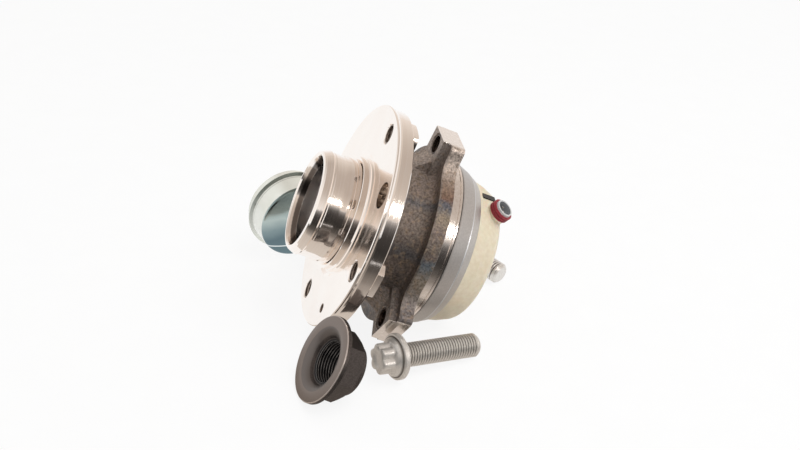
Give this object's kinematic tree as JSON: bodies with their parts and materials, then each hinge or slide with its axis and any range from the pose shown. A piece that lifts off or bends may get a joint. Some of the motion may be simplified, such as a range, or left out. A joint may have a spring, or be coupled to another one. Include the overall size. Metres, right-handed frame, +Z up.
{
  "type": "wheel hub bearing",
  "caption": "Driven wheel hub with a flanged double-row ball bearing and sensor cover, shown with its axle nut, flange bolts and dust cap.",
  "frame": {"origin": "where the hub axis crosses the wheel face of the flange", "axes": "+Z up from the bench; the hub axis runs back along +X and falls by 21.3 degrees; +Y away from the viewer"},
  "size_m": [0.1437, 0.1755, 0.1129],
  "materials": {
    "turned_steel": "bright turned steel with fine rings round the axis",
    "race_steel": "ground bearing steel",
    "forged_steel": "dark forging with a coarse grain; faces and pilots turned bright",
    "ball_steel": "polished",
    "cage_nylon": "natural brown",
    "seal_steel": "pressed sheet",
    "seal_rubber": "black",
    "magnet_rubber": "dark, smooth",
    "gasket_rubber": "black",
    "ring_paint": "blue-grey, matt",
    "cover_plastic": "cream, slightly satin",
    "sensor_plastic": "black",
    "socket_plastic": "light grey",
    "pin_metal": "bright",
    "plug_seal_rubber": "dark red",
    "cap_zinc": "bright zinc plate with a green-blue tint",
    "nut_phosphate": "dark phosphate, dull",
    "bolt_zinc": "grey zinc flake"
  },
  "bodies": {
    "housing": {"outer_ring": "forged_steel", "outboard_seal_case": "seal_steel", "outboard_seal_lip": "seal_rubber", "inboard_seal_case": "seal_steel", "inboard_seal_lip": "seal_rubber", "seam_gasket": "gasket_rubber", "cover_ring": "ring_paint", "sensor_cover": "cover_plastic", "speed_sensor": "sensor_plastic", "connector_socket": "socket_plastic", "contact_pins": "pin_metal", "connector_seal": "plug_seal_rubber"},
    "hub": {"hub_flange": "turned_steel", "inner_ring": "race_steel", "inboard_flinger": "seal_steel", "encoder_ring": "magnet_rubber"},
    "outboard_row": {"outboard_balls": "ball_steel", "outboard_cage": "cage_nylon"},
    "inboard_row": {"inboard_balls": "ball_steel", "inboard_cage": "cage_nylon"},
    "cap": {"dust_cap": "cap_zinc"},
    "nut": {"axle_nut": "nut_phosphate"},
    "bolt_front": {"front_bolt": "bolt_zinc"},
    "bolt_rear": {"rear_bolt": "bolt_zinc"}
  },
  "joints": [
    {"name": "hub_spin", "type": "hinge", "parent": "housing", "child": "hub", "pos_m": [0.02516, 0, -0.00981], "axis": [0.9317, 0, -0.3633], "continuous": true},
    {"name": "outboard_row_spin", "type": "hinge", "parent": "housing", "child": "outboard_row", "pos_m": [0.02516, 0, -0.00981], "axis": [0.9317, 0, -0.3633], "continuous": true},
    {"name": "inboard_row_spin", "type": "hinge", "parent": "housing", "child": "inboard_row", "pos_m": [0.02516, 0, -0.00981], "axis": [0.9317, 0, -0.3633], "continuous": true},
    {"name": "cap_lift", "type": "slide", "parent": "housing", "child": "cap", "axis": [0, 0, 1], "range_m": [0, 0.05]},
    {"name": "nut_lift", "type": "slide", "parent": "housing", "child": "nut", "axis": [0, -0.7071, 0.7071], "range_m": [0, 0.05]},
    {"name": "front_bolt_lift", "type": "slide", "parent": "housing", "child": "bolt_front", "axis": [0.5774, -0.5774, 0.5774], "range_m": [0, 0.05]},
    {"name": "rear_bolt_lift", "type": "slide", "parent": "housing", "child": "bolt_rear", "axis": [0, 0, 1], "range_m": [0, 0.05]}
  ],
  "couplings": [
    {"joint": "outboard_row_spin", "follows": "hub_spin", "ratio": 0.4214},
    {"joint": "inboard_row_spin", "follows": "hub_spin", "ratio": 0.4214}
  ]
}
